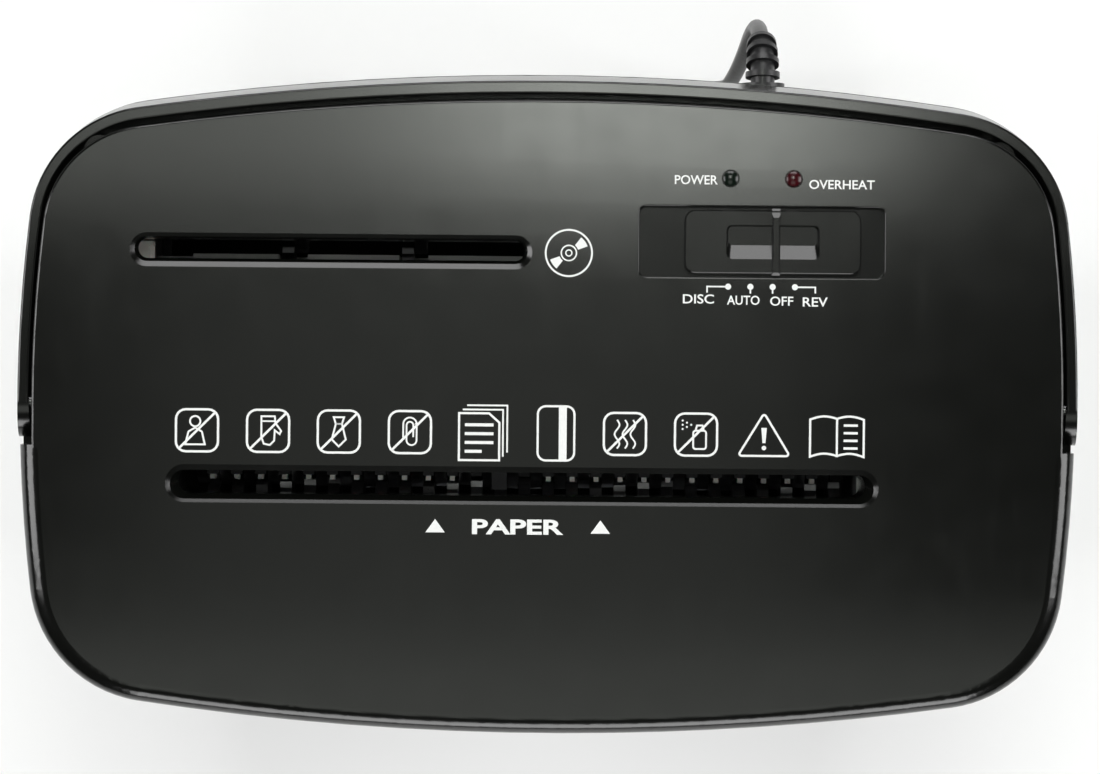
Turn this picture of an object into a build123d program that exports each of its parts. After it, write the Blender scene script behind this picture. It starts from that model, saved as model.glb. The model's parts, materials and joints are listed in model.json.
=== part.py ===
from build123d import *
import os
from math import acos, atan2, cos, degrees, hypot, pi, radians, sin, sqrt, tan

# Paper and disc shredder: a cutting head that rests on a waste bin.
# Millimetres. Origin: centre of the footprint, on the floor. +X right, +Y rear, +Z up.

# ---- driving dimensions -------------------------------------------------------------------

# plan outline of the head: four shallow arcs joined by corner arcs
HALF_WIDTH = 177.5
HALF_DEPTH = 111.0
LONG_ARC = 950.0
SIDE_ARC = 523.0
CORNER_ARC = 45.0

# levels
BIN_FLOOR_Z = 3.0
BIN_RIM_Z = 300.0
SKIRT_Z = 292.0
DECK_TOP_Z = 303.0
SPLIT_Z = 350.0
LEDGE_Z = 374.0
CROWN_Z = 402.0
SHELL = 3.0

# the top cover leans in as it rises: per mm of height, at the sides and at front and rear
LEAN_SIDE = 0.082
LEAN_DEPTH = 0.048

# the head's top is a shallow cylinder about an axis along X
CROWN_RADIUS = 1600.0
CROWN_Y = 16.0
RIM_FILLET = 6.5
PANEL_FILLET = 0.9
EDGE_BREAK = 0.5
RIM_SLOPE = 25.0
RIM_DEPTH = 0.7

# bin
BIN_RIM_INSET = 8.0
BIN_BASE_INSET = 28.8
BIN_WALL = 2.5
FOOT_RADIUS = 8.0
WINDOW_HALF_WIDTH = 70.0
WINDOW_LOW_Z = 70.0
WINDOW_HIGH_Z = 235.0

# carry handle
PANEL_HALF_WIDTH = 169.3
PANEL_HALF_DEPTH = 99.7
HANDLE_GAP_SIDE = 1.2
HANDLE_GAP_REAR = 2.2
HANDLE_BOTTOM_Z = 376.5
HANDLE_DROP = 3.0
PIVOT_Y = -1.0
PIVOT_Z = 387.0
PIVOT_PIN_RADIUS = 2.5
ARM_END_RADIUS = 11.5
POCKET_FRONT_Y = -15.0
HANDLE_ROUND = 0.8

# paper slot and disc slot in the top cover
PAPER_SLOT_X = -8.2
PAPER_SLOT_Y = -26.4
PAPER_SLOT_LENGTH = 226.0
PAPER_SLOT_WIDTH = 8.3
PAPER_RECESS_Y = -27.5
DISC_SLOT_X = -71.4
DISC_SLOT_Y = 50.0
DISC_SLOT_LENGTH = 127.0
DISC_SLOT_WIDTH = 6.6
DISC_RECESS_Y = 49.7

# selector switch
SWITCH_X = 69.9
SWITCH_Y = 53.5
SWITCH_WIDTH = 80.4
SWITCH_DEPTH = 23.2
SWITCH_FLOOR_Z = 397.9
KNOB_X = 73.5
KNOB_LENGTH = 58.0
KNOB_WIDTH = 21.0
KNOB_TRAVEL_LEFT = 14.5
KNOB_TRAVEL_RIGHT = 7.25
LAMP_Y = 74.3
LAMP_XS = (59.5, 80.2)

# paper cutters
CUTTER_Z = 345.0
FRONT_CUTTER_Y = -45.5
REAR_CUTTER_Y = -9.5
DISC_COUNT = 27
DISC_PITCH = 8.1
DISC_THICKNESS = 3.9
REAR_DISC_X = -117.0
FRONT_DISC_X = REAR_DISC_X + DISC_PITCH / 2
CUTTER_TIP = 20.0
CUTTER_ROOT = 18.2
SPACER_RADIUS = 12.0
HEX_RADIUS = 9.0
JOURNAL_RADIUS = 6.0
LEFT_PLATE_X = -139.0
RIGHT_PLATE_X = 104.0
PLATE = 3.0
PLATE_LOW_Z = 306.0
PLATE_HIGH_Z = 370.0
CUTTER_LEFT_X = -119.1
CUTTER_RIGHT_X = 100.1
FINGER_WIDTH = 3.6
FINGER_LOW_Z = 358.0
FINGER_HIGH_Z = 362.0

# gears: teeth and modules
SYNC_TEETH = 24
DISC_DRIVE_TEETH = 42
DISC_PAIR_TEETH = 16
DRIVE_MODULE = 1.5
PINION_TEETH = 10
FIRST_TEETH = 50
FIRST_SMALL_TEETH = 12
SECOND_TEETH = 36
SECOND_SMALL_TEETH = 12
FINAL_TEETH = 30
PINION_MODULE = 1.0
FIRST_MODULE = 1.25
BACKLASH = 0.28
RUNNING = 0.05

# disc cutters: their front gear meshes with the rear cutter's sync gear
DISC_CUTTER_Z = 338.0
DISC_GEAR_DISTANCE = DRIVE_MODULE * (SYNC_TEETH + DISC_DRIVE_TEETH) / 2
DISC_FRONT_Y = REAR_CUTTER_Y + sqrt(DISC_GEAR_DISTANCE ** 2 - (CUTTER_Z - DISC_CUTTER_Z) ** 2)
DISC_REAR_Y = DISC_FRONT_Y + DRIVE_MODULE * DISC_PAIR_TEETH
DISC_CUTTER_TIP = 14.0
DISC_CUTTER_XS = (-87.0, -46.0)
DISC_JOURNAL = 3.5
DISC_HEX = 4.5
BRACKET_X = -3.0

# planes of the gears outside the left plate
PAIR_GEAR_X = (LEFT_PLATE_X - 8.0, LEFT_PLATE_X - 3.4)
SYNC_GEAR_X = (LEFT_PLATE_X - 16.2, LEFT_PLATE_X - 10.0)
LEFT_SHAFT_END_X = LEFT_PLATE_X - 16.5

# motor
MOTOR_Y = 57.0
MOTOR_Z = 337.0
MOTOR_RADIUS = 28.0
MOTOR_SHAFT = 3.0

# paper sensor lever
LEVER_X = -16.0
LEVER_Y = -14.0
LEVER_Z = 378.0
LEVER_PIN = 1.5

# interlock
INTERLOCK_X = -163.0

# mains cord
CORD_RADIUS = 3.0
CORD_X = 73.0
RELIEF_Z = 338.0
RELIEF_BEND = 16.0
RELIEF_ANGLE = 65.0
HANK_X = -25.0
HANK_Y = 112.0
HANK_HALF_RUN = 55.0
HANK_HALF_WIDTH = 23.0
HANK_HALF_WAIST = 9.0
HANK_SHOULDER = 49.0
HANK_TOP_Z = 18.5


# ---- shape helpers ------------------------------------------------------------------------

def tangent_outline(half_width, half_depth, long_arc, side_arc, corner_arc):
    """Face bounded by four shallow arcs joined by four tangent corner arcs."""
    long_y = half_depth - long_arc
    side_x = half_width - side_arc
    reach_long = long_arc - corner_arc
    reach_side = side_arc - corner_arc
    span = hypot(side_x, long_y)
    along = (reach_long ** 2 - reach_side ** 2 + span ** 2) / (2 * span)
    across = sqrt(reach_long ** 2 - along ** 2)
    ux, uy = side_x / span, -long_y / span
    corner_x = along * ux + across * uy
    corner_y = long_y + along * uy - across * ux
    t1 = Vector(corner_x, corner_y - long_y).normalized() * long_arc + Vector(0, long_y)
    t2 = Vector(corner_x - side_x, corner_y).normalized() * side_arc + Vector(side_x, 0)
    turn = (atan2(t1.Y - corner_y, t1.X - corner_x) + atan2(t2.Y - corner_y, t2.X - corner_x)) / 2
    mid = Vector(corner_x + corner_arc * cos(turn), corner_y + corner_arc * sin(turn))
    edges = [
        ThreePointArc((-t1.X, t1.Y), (0, half_depth), (t1.X, t1.Y)),
        ThreePointArc((t1.X, t1.Y), (mid.X, mid.Y), (t2.X, t2.Y)),
        ThreePointArc((t2.X, t2.Y), (half_width, 0), (t2.X, -t2.Y)),
        ThreePointArc((t2.X, -t2.Y), (mid.X, -mid.Y), (t1.X, -t1.Y)),
        ThreePointArc((t1.X, -t1.Y), (0, -half_depth), (-t1.X, -t1.Y)),
        ThreePointArc((-t1.X, -t1.Y), (-mid.X, -mid.Y), (-t2.X, -t2.Y)),
        ThreePointArc((-t2.X, -t2.Y), (-half_width, 0), (-t2.X, t2.Y)),
        ThreePointArc((-t2.X, t2.Y), (-mid.X, mid.Y), (-t1.X, t1.Y)),
    ]
    return make_face(edges)


def outline(inset):
    return tangent_outline(HALF_WIDTH - inset, HALF_DEPTH - inset,
                           LONG_ARC - inset, SIDE_ARC - inset, CORNER_ARC - inset)


def panel_outline(side, rear):
    """Outline with its own inset at the sides and at the rear."""
    inset = (side + rear) / 2
    return tangent_outline(HALF_WIDTH - side, HALF_DEPTH - rear,
                           LONG_ARC - inset, SIDE_ARC - inset, CORNER_ARC - inset)


def cover_outline(z, inset=0.0):
    """Outer outline of the top cover at height z, pulled in by inset."""
    rise = z - SPLIT_Z
    return panel_outline(rise * LEAN_SIDE + inset, rise * LEAN_DEPTH + inset)


def slab(face, low, high):
    return extrude(Pos(0, 0, low) * face, amount=high - low)


def tapered(face_low, low, face_high, high):
    return loft([Pos(0, 0, low) * face_low, Pos(0, 0, high) * face_high], ruled=True)


def crown(drop):
    """Everything under the head's arched top, lowered by drop."""
    centre_z = CROWN_Z - CROWN_RADIUS - drop
    return rod_x(-200, 200, CROWN_Y, centre_z, CROWN_RADIUS)


def crown_z(y):
    return CROWN_Z - CROWN_RADIUS + sqrt(CROWN_RADIUS ** 2 - (y - CROWN_Y) ** 2)


def block(x, y, z):
    """Box from three (low, high) pairs."""
    size = Box(x[1] - x[0], y[1] - y[0], z[1] - z[0])
    return Pos((x[0] + x[1]) / 2, (y[0] + y[1]) / 2, (z[0] + z[1]) / 2) * size


def rod_x(x0, x1, y, z, radius):
    return extrude(Plane.YZ.offset(x0) * Pos(y, z) * Circle(radius), amount=x1 - x0)


def post(x, y, z0, z1, radius):
    return Pos(x, y, (z0 + z1) / 2) * Cylinder(radius, z1 - z0)


def prism_x(points, x0, x1):
    face = make_face(Polyline(*points, close=True))
    return extrude(Plane.YZ.offset(x0) * face, amount=x1 - x0)


def group(solids):
    return Compound(children=[s.solid() if isinstance(s, Part) else s for s in solids])


def hexagon(radius, y, z, turn=0.0):
    return [(y + radius * cos(turn + i * pi / 3), z + radius * sin(turn + i * pi / 3))
            for i in range(6)]


def gear_points(module, teeth, y, z, phase):
    """Involute-like gear outline in the YZ plane, with a tooth centred on the phase angle."""
    pitch_r = module * teeth / 2
    base_r = pitch_r * cos(radians(20))
    tip_r = pitch_r + 0.9 * module
    root_r = pitch_r - 1.2 * module
    half_pitch = pi / (2 * teeth) - BACKLASH / (4 * pitch_r)
    involute = tan(radians(20)) - radians(20)

    def half_angle(r):
        if r <= base_r:
            return half_pitch + involute
        pressure = acos(base_r / r)
        return half_pitch + involute - (tan(pressure) - pressure)

    flank = [max(base_r, root_r + 0.05), (base_r + pitch_r) / 2 + 0.1 * module,
             pitch_r + 0.35 * module, tip_r]
    points = []
    for tooth in range(teeth):
        centre = phase + tooth * 2 * pi / teeth
        side = [(r, -half_angle(r)) for r in flank] + [(r, half_angle(r)) for r in reversed(flank)]
        foot = half_angle(flank[0])
        side = [(root_r, -foot)] + side + [(root_r, foot)]
        points += [(y + r * cos(centre + a), z + r * sin(centre + a)) for r, a in side]
    return points


def gear(module, teeth, centre, phase, x0, x1):
    return prism_x(gear_points(module, teeth, centre[0], centre[1], phase), x0, x1)


def mesh_phase(centre_a, teeth_a, phase_a, centre_b, teeth_b):
    """Phase of gear b that puts it in mesh with gear a."""
    line = atan2(centre_b[1] - centre_a[1], centre_b[0] - centre_a[0])
    return line + pi + (pi - (phase_a - line) * teeth_a) / teeth_b


def meeting_point(centre_a, reach_a, centre_b, reach_b, side):
    """Point at given distances from two centres, on the chosen side of their line."""
    dy, dz = centre_b[0] - centre_a[0], centre_b[1] - centre_a[1]
    span = hypot(dy, dz)
    along = (reach_a ** 2 - reach_b ** 2 + span ** 2) / (2 * span)
    across = side * sqrt(reach_a ** 2 - along ** 2)
    return (centre_a[0] + along * dy / span - across * dz / span,
            centre_a[1] + along * dz / span + across * dy / span)


def hex_bore(solid, radius, centre, x0, x1):
    return solid - prism_x(hexagon(radius, *centre), x0 - 1, x1 + 1)


def hooked_disc(centre, tip, root, hooks, turn, x, thickness, bore):
    """Flat cutter disc: each hook rises along a straight ramp and drops steeply."""
    points = []
    for hook in range(hooks):
        start = turn + hook * 2 * pi / hooks
        for share, r in ((0.0, tip), (0.06, root), (0.5, root + 0.3), (0.86, tip - 0.25)):
            angle = start + share * 2 * pi / hooks
            points.append((centre[0] + r * cos(angle), centre[1] + r * sin(angle)))
    x0 = x - thickness / 2
    disc = prism_x(points, x0, x0 + thickness)
    return hex_bore(disc, bore, centre, x0, x0 + thickness)


def hex_shaft(centre, hex_radius, hex_span, journal, journal_span):
    shaft = prism_x(hexagon(hex_radius, *centre), *hex_span)
    return shaft + rod_x(*journal_span, *centre, journal)


def ring_x(centre, outer, inner, x0, x1):
    return rod_x(x0, x1, *centre, outer) - rod_x(x0 - 1, x1 + 1, *centre, inner)


def sunk_slot(x, y, length, width, top_y, rim_length, rim_width, depth):
    """Rounded slot through the cover: a steep lip under a shallow sloping rim."""
    top_z = crown_z(top_y)

    def rim(rise):
        spread = 2 * rise / tan(radians(RIM_SLOPE))
        return Pos(x, top_y, top_z + rise) * SlotOverall(rim_length + spread, rim_width + spread)

    lower = Pos(x, y, top_z - depth) * SlotOverall(length, width)
    lip = loft([lower, rim(-RIM_DEPTH)], ruled=True)
    above = loft([rim(-RIM_DEPTH), rim(RIM_DEPTH / 2)], ruled=True)
    above += extrude(rim(RIM_DEPTH / 2), amount=5)
    through = extrude(Pos(x, y, SPLIT_Z + 4) * SlotOverall(length, width),
                      amount=top_z - depth - SPLIT_Z - 4)
    return lip + above + through


# centres in the YZ plane
FRONT_CUTTER = (FRONT_CUTTER_Y, CUTTER_Z)
REAR_CUTTER = (REAR_CUTTER_Y, CUTTER_Z)
DISC_FRONT = (DISC_FRONT_Y, DISC_CUTTER_Z)
DISC_REAR = (DISC_REAR_Y, DISC_CUTTER_Z)
MOTOR = (MOTOR_Y, MOTOR_Z)
FINAL_REACH = DRIVE_MODULE * (SECOND_SMALL_TEETH + FINAL_TEETH) / 2
SECOND_REACH = FIRST_MODULE * (FIRST_SMALL_TEETH + SECOND_TEETH) / 2
FIRST_REACH = PINION_MODULE * (PINION_TEETH + FIRST_TEETH) / 2
FIRST_GEAR = meeting_point(MOTOR, FIRST_REACH, REAR_CUTTER, 38.4, -1)
SECOND_GEAR = meeting_point(FIRST_GEAR, SECOND_REACH, REAR_CUTTER, FINAL_REACH, -1)

BOSSES = [(-148, -82), (148, -82), (-148, 82), (148, 82)]
BOARD_POSTS = [(38, 40), (38, 84), (98, 40), (98, 84)]
TIE_RODS = [(-70, 314), (20, 314), (82, 312)]
GEAR_POSTS = [(-42, 330), (63, 363), (42, 313)]

nodes = {}


# ---- bin ----------------------------------------------------------------------------------

def bin_wall(extra):
    """Solid inside of the bin's tapering wall, pulled in by extra."""
    return tapered(outline(BIN_BASE_INSET + extra), BIN_FLOOR_Z,
                   outline(BIN_RIM_INSET + extra), BIN_RIM_Z)


def window_block(margin):
    return block((-WINDOW_HALF_WIDTH - margin, WINDOW_HALF_WIDTH + margin), (-120, -60),
                 (WINDOW_LOW_Z - margin, WINDOW_HIGH_Z + margin))


def make_bin():
    inside = bin_wall(BIN_WALL) & block((-200, 200), (-150, 150), (BIN_FLOOR_Z + SHELL, BIN_RIM_Z))
    shell = bin_wall(0) - inside - window_block(0)
    tab = block((-HALF_WIDTH, INTERLOCK_X + 4), (-8, 8), (BIN_RIM_Z - 4, BIN_RIM_Z)) & bin_wall(1)
    peg = post(INTERLOCK_X, 0, BIN_RIM_Z - 1, BIN_RIM_Z + 2.6, 1.8)
    nodes["bin_shell"] = shell + tab + peg
    pane = (bin_wall(0) - bin_wall(BIN_WALL)) & window_block(-0.2)
    flange = (bin_wall(BIN_WALL) - bin_wall(BIN_WALL + 1.5)) & window_block(4)
    nodes["bin_window"] = pane + flange
    nodes["bin_feet"] = group([post(x, y, 0, BIN_FLOOR_Z, FOOT_RADIUS)
                               for x in (-115, 115) for y in (-52, 52)])


# ---- head casings -------------------------------------------------------------------------

def make_bottom_housing():
    draft = tan(radians(4))
    skirt_inset = (SPLIT_Z - SKIRT_Z) * draft
    deck_inset = (SPLIT_Z - DECK_TOP_Z) * draft
    body = tapered(outline(skirt_inset), SKIRT_Z, outline(0), SPLIT_Z)
    body -= tapered(outline(deck_inset + SHELL), DECK_TOP_Z, outline(SHELL), SPLIT_Z)
    body -= slab(outline(BIN_RIM_INSET - 0.7), SKIRT_Z, BIN_RIM_Z)
    body -= block((-118, 100), (-62, 7), (BIN_RIM_Z - 1, DECK_TOP_Z + 1))
    body -= block((-133, -8), (28, 75), (BIN_RIM_Z - 1, DECK_TOP_Z + 1))
    for x, y in BOSSES:
        body += post(x, y, BIN_RIM_Z, SPLIT_Z, 5)
    for x in (LEFT_PLATE_X + PLATE / 2, RIGHT_PLATE_X + PLATE / 2):
        for y in (-69, 17, 84):
            body += block((x - 4, x + 4), (y - 4, y + 4), (DECK_TOP_Z, PLATE_LOW_Z))
    for x in (32, 74):
        cradle = block((x, x + 3), (MOTOR_Y - 20, MOTOR_Y + 20), (DECK_TOP_Z, 322))
        body += cradle - rod_x(x - 1, x + 4, *MOTOR, MOTOR_RADIUS + 0.1)
    for y in (-12, 8):
        body += block((INTERLOCK_X - 5, INTERLOCK_X + 5), (y, y + 4), (DECK_TOP_Z, 312))
    for x, y in BOSSES:
        body -= post(x, y, BIN_RIM_Z - 1, 338, 4.2) + post(x, y, 337, SPLIT_Z + 1, 1.8)
    body -= post(INTERLOCK_X, 0, BIN_RIM_Z - 1, DECK_TOP_Z + 1, 2.4)
    for i in range(11):
        x = -70 + 8 * i
        body -= block((x - 1.3, x + 1.3), (95, 115), (312, 338))
    for i in range(8):
        y = 16 + 7 * i
        body -= block((160, 180), (y - 1.3, y + 1.3), (312, 338))
    wall = Plane((CORD_X, 90, RELIEF_Z), z_dir=(0, 1, 0))
    body -= extrude(wall * Circle(5), amount=30)
    nodes["bottom_housing"] = body


def break_openings(cover):
    """Small round on the edges of the switch recess and the lamp holes."""
    top = max(cover.faces().filter_by(GeomType.CYLINDER), key=lambda face: face.area)
    for wire in top.inner_wires():
        middle = wire.center()
        if middle.X > 30 and middle.Y > 30:
            cover = fillet(wire.edges(), EDGE_BREAK)
    return cover


def make_top_cover():
    top_z = CROWN_Z + 8
    body = tapered(cover_outline(SPLIT_Z), SPLIT_Z, cover_outline(top_z), top_z) & crown(0)
    rim = body.edges().filter_by_position(Axis.Z, 388, 420)
    body = fillet(rim, RIM_FILLET)
    body -= block((-200, 200), (POCKET_FRONT_Y, 150), (LEDGE_Z, 420))
    outer = panel_outline(HALF_WIDTH - PANEL_HALF_WIDTH, HALF_DEPTH - PANEL_HALF_DEPTH)
    panel = slab(outer, LEDGE_Z - 1, top_z) & crown(0)
    panel = fillet(panel.edges().filter_by_position(Axis.Z, 388, 420), PANEL_FILLET)
    body += panel & block((-200, 200), (POCKET_FRONT_Y - 1, 150), (LEDGE_Z - 1, top_z))
    # inside: a full-width cavity under the ledge, and a narrower one inside the panel
    low, high = SPLIT_Z - 1, LEDGE_Z - SHELL
    body -= tapered(cover_outline(low, SHELL), low, cover_outline(high, SHELL), high)
    inner = panel_outline(HALF_WIDTH - PANEL_HALF_WIDTH + SHELL,
                          HALF_DEPTH - PANEL_HALF_DEPTH + SHELL)
    upper = slab(inner, LEDGE_Z - SHELL - 1, 420)
    front = slab(cover_outline(CROWN_Z, SHELL), LEDGE_Z - SHELL - 1, 420)
    front &= block((-200, 200), (-150, POCKET_FRONT_Y - SHELL), (300, 420))
    body -= (upper + front) & crown(4)
    # throats under the slots
    throat = Pos(PAPER_SLOT_X, PAPER_SLOT_Y, 373)
    body += throat * extrude(SlotOverall(PAPER_SLOT_LENGTH + 5, PAPER_SLOT_WIDTH + 5), amount=25)
    for side in (-1, 1):
        y = DISC_SLOT_Y + side * (DISC_SLOT_WIDTH / 2 + 1.25)
        body += block((DISC_SLOT_X - 62, DISC_SLOT_X + 62), (y - 1.25, y + 1.25), (384, 399))
    # floor of the switch recess
    body += block((SWITCH_X - 43, SWITCH_X + 43), (SWITCH_Y - 14.5, SWITCH_Y + 14.5),
                  (SWITCH_FLOOR_Z - 2.5, SWITCH_FLOOR_Z + 1))
    for x, y in BOSSES:
        body += post(x, y, SPLIT_Z, 398, 5)
    for x, y in BOARD_POSTS:
        body += post(x, y, 370.6, 399, 3)
    for x in (LEVER_X - 8.5, LEVER_X + 5.5):
        body += block((x, x + 3), (PAPER_SLOT_Y + 6, LEVER_Y + 4), (372.5, 383))
    body -= sunk_slot(PAPER_SLOT_X, PAPER_SLOT_Y, PAPER_SLOT_LENGTH, PAPER_SLOT_WIDTH,
                      PAPER_RECESS_Y, 234, 12.5, 5)
    body -= sunk_slot(DISC_SLOT_X, DISC_SLOT_Y, DISC_SLOT_LENGTH, DISC_SLOT_WIDTH,
                      DISC_RECESS_Y, 132, 11.2, 4)
    recess = RectangleRounded(SWITCH_WIDTH, SWITCH_DEPTH, 2.4)
    body -= extrude(Pos(SWITCH_X, SWITCH_Y, SWITCH_FLOOR_Z) * recess, amount=10)
    body -= block((KNOB_X - KNOB_TRAVEL_LEFT - 3.5, KNOB_X + KNOB_TRAVEL_RIGHT + 3.5),
                  (SWITCH_Y - 3, SWITCH_Y + 3), (390, 400))
    for x in LAMP_XS:
        body -= post(x, LAMP_Y, 390, 405, 2.95)
    for x, y in BOSSES:
        body -= post(x, y, SPLIT_Z - 1, 364, 1.5)
    for x, y in BOARD_POSTS:
        body -= post(x, y, 369, 380, 1.2)
    body -= rod_x(LEVER_X - 8.5, LEVER_X + 8.5, LEVER_Y, LEVER_Z, LEVER_PIN)
    body -= rod_x(-180, -160, PIVOT_Y, PIVOT_Z, PIVOT_PIN_RADIUS)
    body -= rod_x(160, 180, PIVOT_Y, PIVOT_Z, PIVOT_PIN_RADIUS)
    nodes["top_cover"] = break_openings(body)


def make_handle():
    inner_side = HALF_WIDTH - PANEL_HALF_WIDTH - HANDLE_GAP_SIDE
    inner_rear = HALF_DEPTH - PANEL_HALF_DEPTH - HANDLE_GAP_REAR
    outer = tapered(panel_outline(1.2, 0.5), 370, panel_outline(3.6, 6.0), 404)
    ring = (outer - slab(panel_outline(inner_side, inner_rear), 369, 405)) & crown(HANDLE_DROP)
    ring = fillet(max(ring.faces(), key=lambda face: face.center().Z).edges(), HANDLE_ROUND)
    reach = block((-200, 200), (PIVOT_Y, 150), (HANDLE_BOTTOM_Z, 404))
    ends = rod_x(-200, 200, PIVOT_Y, PIVOT_Z, ARM_END_RADIUS)
    bore = rod_x(-174.0, 174.0, PIVOT_Y, PIVOT_Z, PIVOT_PIN_RADIUS + RUNNING)
    nodes["carry_handle"] = (ring & (reach + ends)) - bore
    nodes["handle_pivot_pins"] = group([
        rod_x(164, 173.2, PIVOT_Y, PIVOT_Z, PIVOT_PIN_RADIUS),
        rod_x(-173.2, -164, PIVOT_Y, PIVOT_Z, PIVOT_PIN_RADIUS)])


# ---- controls and electrics ---------------------------------------------------------------

def make_switch():
    low, high = SWITCH_FLOOR_Z + 0.3, 401.9
    plate = Pos(KNOB_X, SWITCH_Y, low) * RectangleRounded(KNOB_LENGTH, KNOB_WIDTH, 3.6)
    knob = extrude(plate, amount=high - low)
    knob = chamfer(knob.faces().sort_by(Axis.Z)[-1].edges(), 0.5)
    # finger dish: steep at the rear and the ends, a shallow ramp at the front
    dish = loft([Pos(KNOB_X, SWITCH_Y + 2.05, high - 2.2) * RectangleRounded(29.2, 6.1, 1.5),
                 Pos(KNOB_X, SWITCH_Y, high) * RectangleRounded(30.6, 11.2, 2.0)], ruled=True)
    knob -= dish
    # rib across the knob, with a ramp at its rear end
    top = high + 0.8
    side = [(SWITCH_Y - 11, top - 3.3), (SWITCH_Y + 11, top - 3.3), (SWITCH_Y + 11, top - 1.4),
            (SWITCH_Y + 8, top), (SWITCH_Y - 10, top), (SWITCH_Y - 11, top - 1)]
    rib = Plane.YZ.offset(KNOB_X - 0.35) * make_face(Polyline(*side, close=True))
    rib = extrude(rib, amount=2.7)
    knob += chamfer(rib.edges().filter_by(Axis.Y).group_by(Axis.Z)[-1], 0.5)
    knob += block((KNOB_X - 3, KNOB_X + 3), (SWITCH_Y - 2.6, SWITCH_Y + 2.6), (383, low + 0.5))
    knob -= block((KNOB_X - 2.1, KNOB_X + 2.1), (SWITCH_Y - 4, SWITCH_Y + 4), (382, 388))
    nodes["switch_knob"] = knob
    nodes["switch_toggle"] = block((KNOB_X - 2, KNOB_X + 2), (SWITCH_Y - 2, SWITCH_Y + 2),
                                   (378, 387))
    body = block((52, 88), (SWITCH_Y - 6, SWITCH_Y + 6), (370.6, 380.6))
    body -= block((56.5, 83.5), (SWITCH_Y - 2.4, SWITCH_Y + 2.4), (377.5, 381))
    nodes["selector_switch"] = body


def make_lamp(x):
    """Lamp lens with a domed face, on two leads that stand on the board."""
    top = crown_z(LAMP_Y)
    dome = Pos(x, LAMP_Y, top - 4.2) * Sphere(5.0) & post(x, LAMP_Y, top - 1.4, top + 2, 2.4)
    lamp = post(x, LAMP_Y, 393, top - 1.0, 2.9) + dome
    for side in (-1.3, 1.3):
        lamp += post(x + side, LAMP_Y, 370.6, 393.5, 0.5)
    return lamp


def make_electrics():
    nodes["power_lamp"] = make_lamp(LAMP_XS[0])
    nodes["overheat_lamp"] = make_lamp(LAMP_XS[1])
    board = block((33, 103), (35, 89), (369, 370.6))
    for x, y in BOARD_POSTS:
        board -= post(x, y, 368, 371, 1.6)
    nodes["control_board"] = board
    relay = block((36, 55), (62, 78), (370.6, 386))
    choke = block((90, 102), (44, 64), (370.6, 382))
    capacitor = post(46, 50, 370.6, 388, 5)
    small_capacitor = post(94, 73, 370.6, 384, 4)
    nodes["board_components"] = group([relay, choke, capacitor, small_capacitor])
    low = PLATE_HIGH_Z
    connector = block((LEFT_PLATE_X - 1.5, -132.2), (46, 53), (low, low + 7.5))
    connector += block((LEFT_PLATE_X - 1.5, LEFT_PLATE_X), (46, 53), (low - 3, low))
    nodes["wire_connector"] = connector - block((-133.6, -132), (47.2, 51.8), (low + 1.5, low + 8))
    nodes["thermal_cutout"] = block((40, 54), (MOTOR_Y - 4, MOTOR_Y + 4),
                                    (MOTOR_Z + MOTOR_RADIUS, MOTOR_Z + MOTOR_RADIUS + 3.4))


def make_sensor():
    hub = rod_x(LEVER_X - 4, LEVER_X + 4, LEVER_Y, LEVER_Z, 3.4)
    arm = block((LEVER_X - 2.5, LEVER_X + 2.5), (LEVER_Y - 1.5, LEVER_Y + 1.5), (367.6, LEVER_Z))
    foot = block((LEVER_X - 2.5, LEVER_X + 2.5), (-29.2, LEVER_Y + 1.5), (367.6, 370))
    lever = hub + arm + foot
    nodes["sensor_lever"] = lever - rod_x(LEVER_X - 5, LEVER_X + 5, LEVER_Y, LEVER_Z,
                                          LEVER_PIN + RUNNING)
    nodes["sensor_pin"] = rod_x(LEVER_X - 8.5, LEVER_X + 8.5, LEVER_Y, LEVER_Z, LEVER_PIN)


def make_interlock():
    body = block((INTERLOCK_X - 5, INTERLOCK_X + 5), (-12, 12), (312, 324))
    nodes["interlock_switch"] = body - post(INTERLOCK_X, 0, 311, 320, 2.1)
    plunger = post(INTERLOCK_X, 0, BIN_RIM_Z + 2.9, 314, 2)
    nodes["interlock_plunger"] = plunger + post(INTERLOCK_X, 0, 303.4, 305, 3.2)


def make_screws():
    nodes["casing_screws"] = group(
        [post(x, y, 335, 338, 3.6) + post(x, y, 337, 363, 1.5) for x, y in BOSSES]
        + [post(x, y, 366.8, 369, 2.6) + post(x, y, 368.5, 376, 1.2) for x, y in BOARD_POSTS])
    left, right = LEFT_PLATE_X, RIGHT_PLATE_X + PLATE
    nodes["frame_screws"] = group(
        [rod_x(left - 2.4, left, *c, 4) + rod_x(left - 1, left + 12, *c, 2) for c in TIE_RODS]
        + [rod_x(right, right + 1.8, *c, 4) + rod_x(right - 12, right + 1, *c, 2)
           for c in TIE_RODS]
        + [rod_x(142.5, 144.5, *c, 3.4) + rod_x(132, 143, *c, 1.5) for c in GEAR_POSTS])


# ---- cutting frame ------------------------------------------------------------------------

def plate_x(x, y, z, holes):
    """Frame plate in the YZ plane with round holes given as (centre, radius)."""
    plate = block((x, x + PLATE), y, z)
    for centre, radius in holes:
        plate -= rod_x(x - 1, x + PLATE + 1, *centre, radius)
    return plate


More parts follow.
